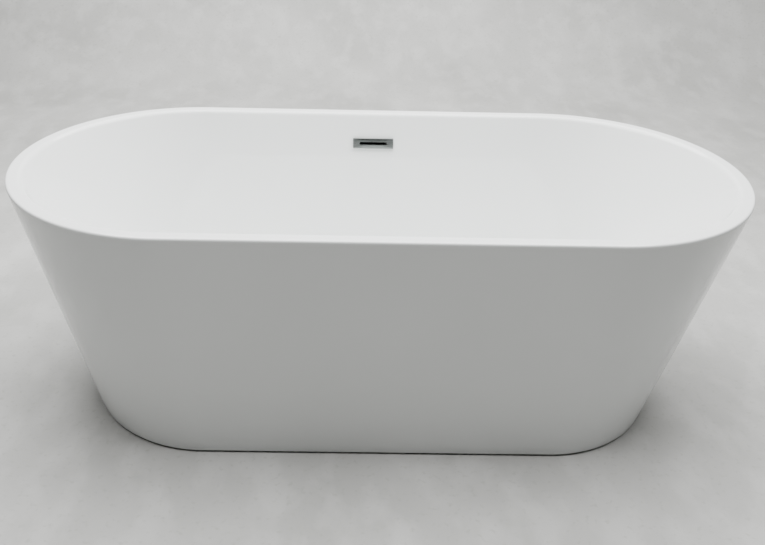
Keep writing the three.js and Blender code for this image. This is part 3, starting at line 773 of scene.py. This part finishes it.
for name, at in FEET.items():
    fit(foot_pad(name, at), black_plastic, "black_plastic", f"pad_{name}", f"foot_pad_{name}")
    fit(foot_stud(name, at), zinc, "zinc_plated_steel", f"stud_{name}", f"foot_stud_{name}")
    fit(lock_nut(name, at), zinc, "zinc_plated_steel", "tub", f"foot_lock_nut_{name}")
    fit(foot_bush(name, at), galvanised, "galvanised_steel", "tub", f"foot_bush_{name}")


# ---- Waste ----
# A chromed flange clamps the floor to a black plastic shoe through two rubber seals. The overflow hose joins the
# shoe's side, and a chromed tailpiece leaves below under a plastic nut. The sizes are millimetres times mm.
mm = 0.001
DRAIN_AT = (DRAIN["x"], DRAIN["y"])
PORT_Z = 62 * mm
PORT_END = 62 * mm  # from the drain's axis


def chrome_finish():
    """Mirror chrome with a breath of haze and dried water marks."""
    finish = Finish("chrome_plate")
    haze = finish.noise(45, 4)
    spots = finish.ramp(finish.noise(330, 2), (0.66, 0), (0.74, 1))
    return finish.shader(
        Base_Color=finish.blend(haze, (0.60, 0.61, 0.62, 1), (0.68, 0.69, 0.69, 1)),
        Metallic=1.0,
        Roughness=0.05 + 0.06 * haze + 0.12 * spots,
    )


def rubber_finish():
    """Black moulded rubber with a matt, slightly dusty skin."""
    finish = Finish("black_rubber")
    dust = finish.ramp(finish.noise(80, 5), (0.45, 0), (0.8, 1))
    return finish.shader(
        Base_Color=finish.blend(dust, (0.010, 0.010, 0.010, 1), (0.035, 0.034, 0.032, 1)),
        Roughness=0.7 + 0.2 * dust, Normal=finish.bumps(finish.noise(700, 2), 0.00006),
    )


chrome = chrome_finish()
rubber = rubber_finish()
white_plastic = moulded_finish("white_plastic", (0.68, 0.69, 0.66, 1), (0.76, 0.77, 0.73, 1))


def in_mm(points, ease=0.0, steps=3, closed=True):
    """A profile given in millimetres, its corners eased by a radius in millimetres, in metres."""
    return softened(points, ease, steps, closed) * mm


def washer(name, inner, outer, low, high, ease=0.3):
    """A flat ring with eased edges about the drain, in millimetres."""
    return turned(name, in_mm([(inner, low), (outer, low), (outer, high), (inner, high)], ease), 96, DRAIN_AT)


def bar(name, width, depth, low, high, at=(0, 0)):
    """An upright box with eased corners, given in millimetres, standing at a point given in metres."""
    loop = rounded_loop(width, depth, 0.3, 2) * mm
    x, y = (np.stack([loop * 0, loop, loop, loop * 0]) + at).transpose(2, 0, 1)
    z = np.array([low, low, high, high])[:, None] * mm
    return surface(name, np.stack([x, y, 0 * x + z], -1), wrap=(False, True))


def waste_flange():
    """A turned flange and barrel, with a cross of two bars and a drilled hub in its throat."""
    body = turned(
        "drain_flange",
        in_mm([(21, 100), (24, 100), (24, 140.1), (34, 140.1), (35, 140.9), (34.6, 142.6), (33, 143.3),
               (24.5, 143.3), (21, 141)], [0, 0, 0, 0.2, 0.8, 0.9, 0.8, 1.2, 1.5], 5),
        128, DRAIN_AT,
    )
    arms = [bar("arm_x", 43, 5, 112, 117, DRAIN_AT), bar("arm_y", 5, 43, 112, 117, DRAIN_AT)]
    hub_side = in_mm([(0, 110), (9.5, 110), (9.5, 118), (0, 118)], 0.6, closed=False)
    hub = turned("hub", hub_side, 64, DRAIN_AT, wrap=False)
    bore_side = in_mm([(0, 105), (7, 105), (7, 125), (0, 125)], closed=False)
    bore = turned("bore", bore_side, 64, DRAIN_AT, wrap=False)
    return worked(worked(body, *arms, hub, operation="UNION"), bore)


def across(name, profile, steps=48, at=(0.0, 0.0, 0.0)):
    """A (radius, distance) profile carried round a level axis along +y through a point. It starts and ends on the
    axis."""
    radius, y = np.array(profile, float).T[..., None]
    turn = np.linspace(0, tau, steps, endpoint=False)
    grid = np.stack([radius * np.cos(turn), y + 0 * turn, radius * np.sin(turn)], -1) + np.array(at)
    return surface(name, grid, wrap=(False, True))


def waste_shoe():
    """A turned body with a clamping rim and a ribbed neck, and a hose port on its rear side."""
    body = turned(
        "drain_shoe",
        in_mm([(24.6, 129.5), (36, 129.5), (36, 124), (28, 124), (28, 44), (24, 44), (24, 42), (23.4, 41), (24, 40),
               (24, 38), (23.4, 37), (24, 36), (24, 34), (23.4, 33), (24, 32), (24, 28), (20.6, 28), (20.6, 56),
               (22, 60), (22, 92), (24.6, 96)], 0.5, 2),
        96, DRAIN_AT,
    )
    port_at = (*DRAIN_AT, PORT_Z)
    port = across("port", in_mm([(0, 24), (11.2, 24), (11.2, 62), (0, 62)], 0.5, closed=False), at=port_at)
    bore = across("port_bore", in_mm([(0, 15), (8.6, 15), (8.6, 63), (0, 63)], closed=False), at=port_at)
    return worked(worked(body, port, operation="UNION"), bore)


def tailpiece_nut():
    """A slip nut: twelve grip ribs round the outside, a stepped bore inside."""
    turn = np.linspace(0, tau, 144, endpoint=False)
    low, high = 22 * mm, 41 * mm
    z = np.linspace(low, high, 12)[:, None]
    chamfer = np.clip(np.minimum(z - low, high - z) / (2 * mm), 0, 1)
    ribs = 28.6 * mm + (0.6 * mm + 1.6 * mm * (np.cos(12 * turn) > 0.2)) * chamfer
    bore = in_mm([(24.9, 41), (24.9, 26), (20.8, 26), (20.8, 22)], [0.3, 0, 0.2, 0.3], 2)
    return spun("slip_nut", DRAIN_AT, (ribs, z + 0 * turn), round_rows(bore, turn), turn=turn, wrap=True)


fit(waste_flange(), chrome, "chrome_plate", "tub", "waste_flange")
fit(washer("flange_seal", 26.6, 34.5, 139.3, 139.8, 0.1), rubber, "black_rubber", "tub", "waste_flange_seal")
fit(washer("shoe_gasket", 26, 35, 129.8, 133.2), rubber, "black_rubber", "tub", "waste_shoe_gasket")
fit(waste_shoe(), black_plastic, "black_plastic", "tub", "waste_shoe")
tail = turned("tail_tube", in_mm([(17.6, 16), (20, 16), (20, 54), (17.6, 54)], 0.3), 96, DRAIN_AT)
fit(tail, chrome, "chrome_plate", "tub", "waste_tailpiece")
fit(washer("tail_washer", 20.5, 24, 26.3, 27.7), rubber, "black_rubber", "tub", "tailpiece_washer")
fit(tailpiece_nut(), white_plastic, "white_plastic", "tub", "tailpiece_nut")


# ---- Push-to-open stopper ----
# A domed chrome cap over a rubber seal, on a stem that slides in a latching sleeve. A short spring in the sleeve
# lifts it when it is pressed.
def threaded_rod(name, radius, low, high):
    """A round rod with a thread between its plain ends."""
    turn = np.linspace(0, tau, 32, endpoint=False)
    return spun(
        name, DRAIN_AT,
        round_rows([(0, low), (radius, low)], turn),
        thread_rows(low + mm, high - 6 * mm, turn, radius),
        round_rows([(radius, high - 5 * mm), (radius, high), (0, high)], turn),
        turn=turn,
    )


def spring(name, radius, wire, low, high, coils):
    """A round wire wound about the drain's axis: radius plus wire times the cosine of the section's angle, and
    height rising evenly plus wire times its sine. Both ends are closed."""
    way = np.linspace(0, 1, 40 * coils)[:, None]
    ring = np.linspace(0, tau, 12, endpoint=False)
    thick = np.concatenate([[0], np.full(len(way) - 2, wire), [0]])[:, None]
    distance, turn = radius + thick * np.cos(ring), tau * coils * way
    z = low + (high - low) * way + thick * np.sin(ring)
    x, y = DRAIN_AT[0] + distance * np.cos(turn), DRAIN_AT[1] + distance * np.sin(turn)
    return surface(name, np.stack([x, y, z], -1), wrap=(False, True))


cap = turned(
    "dome_cap",
    in_mm([(0, 141.6), (8, 141.6), (8, 144.6), (31, 144.6), (32, 145.4), (31.6, 146.8), (26, 148.7), (14, 150.1),
           (0, 150.6)], [0, 0.4, 0.5, 0.6, 0.8, 1.2, 5, 9, 0], 8, False),
    160, DRAIN_AT, wrap=False,
)
fit(cap, chrome, "chrome_plate", "stopper", "stopper_cap")
fit(washer("cap_seal", 8.4, 20.5, 141.4, 144.3, 1.0), rubber, "black_rubber", "stopper", "stopper_seal")
fit(threaded_rod("cap_stem", 4 * mm, 105 * mm, 141.3 * mm), zinc, "zinc_plated_steel", "stopper", "stopper_stem")
sleeve = turned(
    "latch_sleeve",
    in_mm([(0, 95), (6.5, 95), (6.5, 121), (4.6, 121), (4.6, 97.5), (0, 97.5)], [0, 0.6, 0.4, 0.3, 0, 0], 3, False),
    48, DRAIN_AT, wrap=False,
)
fit(sleeve, zinc, "zinc_plated_steel", "tub", "stopper_sleeve")
SPRING_LOW, SPRING_HIGH = 98.2 * mm, 104.3 * mm
coil = spring("lift_spring", 3.2 * mm, 0.4 * mm, SPRING_LOW, SPRING_HIGH, 4)
coil.data.materials.append(zinc)
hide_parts("stopper_spring")
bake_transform(coil)


# ---- Overflow ----
# A satin-plated cover with one slot clips over a dark zinc-plated bracket. Two screws through the bracket draw the
# black body against the back of the wall on a rubber gasket, and the body drains down through its spigot.
COVER = {"width": 110 * mm, "height": 28 * mm, "corner": 1.5 * mm, "steps": 8}
COVER_FRONT, COVER_BACK, COVER_WALL = -6.5 * mm, -0.5 * mm, 2 * mm
COVER_SLOT = {"width": 76 * mm, "height": 7 * mm, "corner": 3.4 * mm, "steps": 10}
SCREW_X, SCREW_HOLE_R = 41 * mm, 2.5 * mm
SPIGOT_Y = 21.7 * mm  # from the wall's face to the spigot's axis
SPIGOT_FOOT = -44 * mm
BODY_FRONT, BODY_BACK, BODY_WALL = 7.7 * mm, 32.7 * mm, 3 * mm


def wall_pin(name, radius, front, back, x=0.0, sides=32):
    """A round pin square to the wall, closed at both ends."""
    turn = np.linspace(0, tau, sides, endpoint=False)[None]
    rows = np.array([[0, front], [radius, front], [radius, back], [0, back]])
    grid = np.stack([x + rows[:, :1] * np.cos(turn), rows[:, 1:] + 0 * turn, rows[:, :1] * np.sin(turn)], -1)
    return surface(name, on_wall(grid), wrap=(False, True))


def wall_post(name, radius, low, high, ease=0.0, sides=48):
    """A round post up the wall through the spigot's axis."""
    turn = np.linspace(0, tau, sides, endpoint=False)
    radii, z = softened([(0, low), (radius, low), (radius, high), (0, high)], ease, 3, False).T[..., None]
    grid = np.stack([radii * np.cos(turn), SPIGOT_Y + radii * np.sin(turn), z + 0 * turn], -1)
    return surface(name, on_wall(grid), wrap=(False, True))


def satin_finish(name, dark, light):
    """Satin plate over a finely brushed face: short strokes along its length and faint blotches."""
    finish = Finish(name)
    strokes = finish.noise(900, 3, (0.03, 1, 1))
    blotches = finish.noise(55, 4)
    return finish.shader(
        Base_Color=finish.blend(blotches, (*dark, 1), (*light, 1)),
        Metallic=1.0,
        Roughness=0.2 + 0.12 * strokes + 0.08 * blotches,
        Normal=finish.bumps(strokes, 0.00003, 0.6),
    )


def overflow_cover():
    """A shallow box with eased edges, hollow behind, with a flared slot through its face."""
    box = wall_prism(
        "slotted_cover", rounded_loop(**COVER),
        (1.1 * mm, COVER_FRONT), (0.5 * mm, COVER_FRONT + 0.12 * mm), (0.12 * mm, COVER_FRONT + 0.5 * mm),
        (0, COVER_FRONT + 1.1 * mm), (0, COVER_BACK),
    )
    inside = rounded_loop(COVER["width"] - 2 * COVER_WALL, COVER["height"] - 2 * COVER_WALL, mm)
    hollow = wall_prism("hollow", inside, (0, COVER_FRONT + COVER_WALL), (0, mm))
    slot = wall_prism(
        "slot", rounded_loop(**COVER_SLOT), (-0.5 * mm, COVER_FRONT - 0.2 * mm),
        (-0.15 * mm, COVER_FRONT + 0.2 * mm), (0, COVER_FRONT + 0.6 * mm), (0, mm),
    )
    return worked(box, hollow, slot, sharp=30)


def screw_holes(front, back):
    """Cutters for the two screws that hold the cover's bracket and the body together."""
    return [wall_pin(f"hole_{side}", SCREW_HOLE_R, front, back, side * SCREW_X) for side in (-1, 1)]


def overflow_body():
    """A rounded box with a pocket open to the wall, blind screw holes, and the spigot with its bore."""
    loop = rounded_loop(104 * mm, 32 * mm, 7 * mm)
    box = wall_prism("overflow_elbow", loop, (0, BODY_FRONT), (0, BODY_BACK - 2 * mm), (2 * mm, BODY_BACK))
    spigot = wall_post("spigot", 11.2 * mm, SPIGOT_FOOT, -10 * mm, 0.5 * mm)
    pocket_loop = rounded_loop(68 * mm, 18 * mm, 4 * mm)
    pocket = wall_prism("pocket", pocket_loop, (0, BODY_FRONT - mm), (0, BODY_BACK - BODY_WALL))
    bore = wall_post("spigot_bore", 8.6 * mm, SPIGOT_FOOT - mm, -2 * mm, sides=47)
    holes = screw_holes(BODY_FRONT - mm, BODY_FRONT + 14 * mm)
    return worked(worked(box, spigot, operation="UNION"), pocket, bore, *holes)


def overflow_bracket():
    """A flat plate with a window for the water and two screw holes."""
    plate = wall_prism("cover_bracket", rounded_loop(100 * mm, 19 * mm, 2 * mm), (0, -1.8 * mm), (0, -0.3 * mm))
    window = wall_prism("window", rounded_loop(68 * mm, 10 * mm, 4 * mm), (0, -3 * mm), (0, mm))
    return worked(plate, window, *screw_holes(-3 * mm, mm))


def overflow_gasket():
    """A rubber ring of the body's outline, standing between the wall's back and the body."""
    front, back, ease = 5.8 * mm, 7.4 * mm, 0.3 * mm
    ring = wall_prism(
        "wall_gasket", rounded_loop(102 * mm, 30 * mm, 6 * mm),
        (ease, front), (0, front + ease), (0, back - ease), (ease, back),
    )
    inside = wall_prism("inside", rounded_loop(94 * mm, 17 * mm, 8 * mm), (0, front - mm), (0, back + mm))
    return worked(ring, inside)


def overflow_screw(name, x):
    """A pan head with a driver's slot across it, and its shank."""
    head = wall_pin(name, 4 * mm, -3.8 * mm, -2.1 * mm, x)
    shank = wall_pin("shank", 2 * mm, -2.5 * mm, BODY_FRONT + 12 * mm, x, sides=31)
    slot = wall_prism("slot", rounded_loop(10 * mm, 1.1 * mm, 0.2 * mm), (0, -4.5 * mm), (0, -2.8 * mm), x=x)
    return worked(worked(head, shank, operation="UNION"), slot)


satin_plate = satin_finish("satin_plate", (0.21, 0.225, 0.22), (0.27, 0.285, 0.28))
dark_zinc = satin_finish("dark_passivated_zinc", (0.035, 0.037, 0.036), (0.06, 0.062, 0.06))
fit(overflow_cover(), satin_plate, "chrome_plate", "tub", "overflow_cover")
fit(overflow_bracket(), dark_zinc, "zinc_plated_steel", "tub", "overflow_bracket")
fit(overflow_gasket(), rubber, "black_rubber", "tub", "overflow_gasket")
fit(overflow_body(), black_plastic, "black_plastic", "tub", "overflow_body")
for side, x in (("left", -SCREW_X), ("right", SCREW_X)):
    screw = overflow_screw(f"bracket_screw_{side}", x)
    fit(screw, zinc, "zinc_plated_steel", "tub", f"overflow_screw_{side}")


# ---- Overflow hose ----
# A corrugated hose of 28 mm over its ribs. It is pushed over the overflow's spigot and the shoe's port, held on
# each by a worm-drive clamp, and runs down behind the basin and under the rear rail.
HOSE = {"ribs": 14 * mm, "grooves": 12.7 * mm, "bore": 11.9 * mm, "rib_pitch": 4.2 * mm}
spigot_top, spigot_foot = on_wall([(0, SPIGOT_Y, -18 * mm), (0, SPIGOT_Y, SPIGOT_FOOT)])[:, 1:]
port_mouth = DRAIN_AT[1] + PORT_END
ROUTE = np.array([
    spigot_top, spigot_foot, (0.351, 0.430), (0.340, 0.370), (0.325, 0.290), (0.309, 0.205), (0.294, 0.130),
    (0.262, 0.080), (0.210, PORT_Z + 0.002), (port_mouth + 0.016, PORT_Z), (port_mouth, PORT_Z),
    (port_mouth - 0.025, PORT_Z),
])


def smooth_route(points, spacing):
    """The curve through the points that leaves each along the line between its neighbours, a cubic Hermite curve
    over the square roots of the chords, evenly respaced."""
    step = np.sqrt(np.linalg.norm(np.diff(points, axis=0), axis=1))
    at = np.concatenate([[0], np.cumsum(step)])
    slope = np.gradient(points, at, axis=0)
    fine = np.linspace(0, at[-1], 4000)[:-1]
    i = np.searchsorted(at, fine, side="right") - 1
    h, t = step[i][:, None], ((fine - at[i]) / step[i])[:, None]
    curve = ((1 + 2 * t) * (1 - t) ** 2 * points[i] + t * (1 - t) ** 2 * h * slope[i]
             + t**2 * (3 - 2 * t) * points[i + 1] + t**2 * (t - 1) * h * slope[i + 1])
    length = np.concatenate([[0], np.cumsum(np.linalg.norm(np.diff(curve, axis=0), axis=1))])
    even = np.linspace(0, length[-1], int(length[-1] / spacing))
    return np.stack([np.interp(even, length, curve[:, k]) for k in (0, 1)], -1), even


def hose():
    """Out along the ribbed skin and back along the smooth bore: the skin's radius is the groove's plus a raised
    cosine of the distance over the rib pitch."""
    path, distance = smooth_route(ROUTE, HOSE["rib_pitch"] / 7)
    rib = 0.5 - 0.5 * np.cos(tau * distance / HOSE["rib_pitch"])
    skin = HOSE["grooves"] + (HOSE["ribs"] - HOSE["grooves"]) * rib
    radius = np.concatenate([skin, np.full(len(path), HOSE["bore"])])[:, None]
    turn = np.linspace(0, tau, 36, endpoint=False)
    section = np.stack([radius * np.cos(turn), radius * np.sin(turn)], -1)
    way = np.gradient(path, axis=0)
    out = np.stack([-way[:, 1], way[:, 0]], -1) / np.linalg.norm(way, axis=1, keepdims=True)
    path, out = (np.concatenate([a, a[::-1]])[:, None] for a in (path, out))
    grid = np.concatenate([section[..., :1], path + section[..., 1:] * out], -1)
    return surface("corrugated_hose", grid)


def hose_clamp(name, middle, along):
    """A slotted band round the hose, and beside it the worm screw in its housing. It is made about the z axis, then
    turned so that z lies along the hose."""
    turn = np.linspace(0, tau, 180, endpoint=False)
    band = in_mm([(14.4, -4.5), (15.5, -4.5), (15.5, 4.5), (14.4, 4.5)], 0.3, 2)
    radius, z = round_rows(band, turn)
    notch = (np.abs(z) < 3 * mm) & (radius > 15 * mm) & (np.cos(45 * turn) > 0.4)
    worm = in_mm([(0, -9.5), (3, -9.5), (3, 9.5), (0, 9.5)], 0.5, closed=False)
    parts = [
        spun(name, (0, 0), (radius - notch * 0.25 * mm, z), turn=turn, wrap=True),
        bar("housing", 7, 15, -5, 5, (18 * mm, 0)),
        across("screw", worm, at=(18 * mm, 0, 0)),
    ]
    clamp = worked(parts[0], *parts[1:], operation="UNION")
    lean = np.arctan2(along[0], along[1])
    clamp.data.transform(Matrix.Translation((0, *middle)) @ Matrix.Rotation(-lean, 4, "X"))
    return clamp


fit(hose(), black_plastic, "black_plastic", "tub", "overflow_hose")
top_middle = spigot_top + (spigot_foot - spigot_top) * 0.45
top_clamp = hose_clamp("upper_clamp", top_middle, spigot_top - spigot_foot)
fit(top_clamp, zinc, "zinc_plated_steel", "tub", "hose_clamp_top")
low_clamp = hose_clamp("lower_clamp", (port_mouth - 12 * mm, PORT_Z), np.array([-1.0, 0.0]))
fit(low_clamp, zinc, "zinc_plated_steel", "tub", "hose_clamp_bottom")


# ---- Studio ----
# A pale sweep of scuffed backing sheet on the floor that rises behind the tub, and soft light from above.
def sweep_finish():
    """Pale grey sheet with soft clouds and faint scuffs."""
    finish = Finish("backing_sheet")
    clouds = finish.ramp(finish.noise(2.5, 7), (0.34, 0), (0.68, 1))
    scuffs = finish.ramp(finish.noise(11, 9, (1, 0.6, 1)), (0.47, 0), (0.64, 1))
    grit = finish.ramp(finish.noise(70, 4), (0.58, 0), (0.70, 1))
    pale = finish.blend(clouds, (0.39, 0.39, 0.375, 1), (0.49, 0.49, 0.475, 1))
    marked = finish.blend(scuffs * 0.4, pale, (0.58, 0.58, 0.565, 1))
    return finish.shader(Base_Color=finish.blend(grit * 0.35, marked, (0.30, 0.30, 0.27, 1)), Roughness=0.55)


def sweep_grid():
    """The floor out to the back, a quarter turn of 1 m radius, and a wall: a profile drawn out sideways."""
    bend_start, radius, near, top = 2.2, 1.0, -6.0, 4.0
    turn = np.linspace(0, pi / 2, 24)
    y = np.concatenate([[near, bend_start], bend_start + radius * np.sin(turn), [bend_start + radius]])
    z = np.concatenate([[0, 0], radius - radius * np.cos(turn), [top]])
    x = np.array([-7.0, 7.0])
    return np.stack(np.broadcast_arrays(x[:, None], y, z), -1)


sweep = surface("studio_sweep", sweep_grid(), wrap=(False, False))
sweep.data.materials.append(sweep_finish())


def soft_light(name, size, power, place, aim):
    """A square area light at a place, turned to face a point."""
    light = bpy.data.objects.new(name, bpy.data.lights.new(name, "AREA"))
    light.data.shape, light.data.size, light.data.energy = "SQUARE", size, power
    light.location = place
    light.rotation_euler = (Vector(aim) - Vector(place)).to_track_quat("-Z", "Y").to_euler()
    bpy.context.scene.collection.objects.link(light)


soft_light("ceiling_light", 3.6, 390, (0, 0.6, 2.9), (0, 0.6, 0))
world = bpy.data.worlds.new("studio")
world.use_nodes = True
world.node_tree.nodes["Background"].inputs["Color"].default_value = (1, 1, 1, 1)
world.node_tree.nodes["Background"].inputs["Strength"].default_value = 0.03
bpy.context.scene.world = world
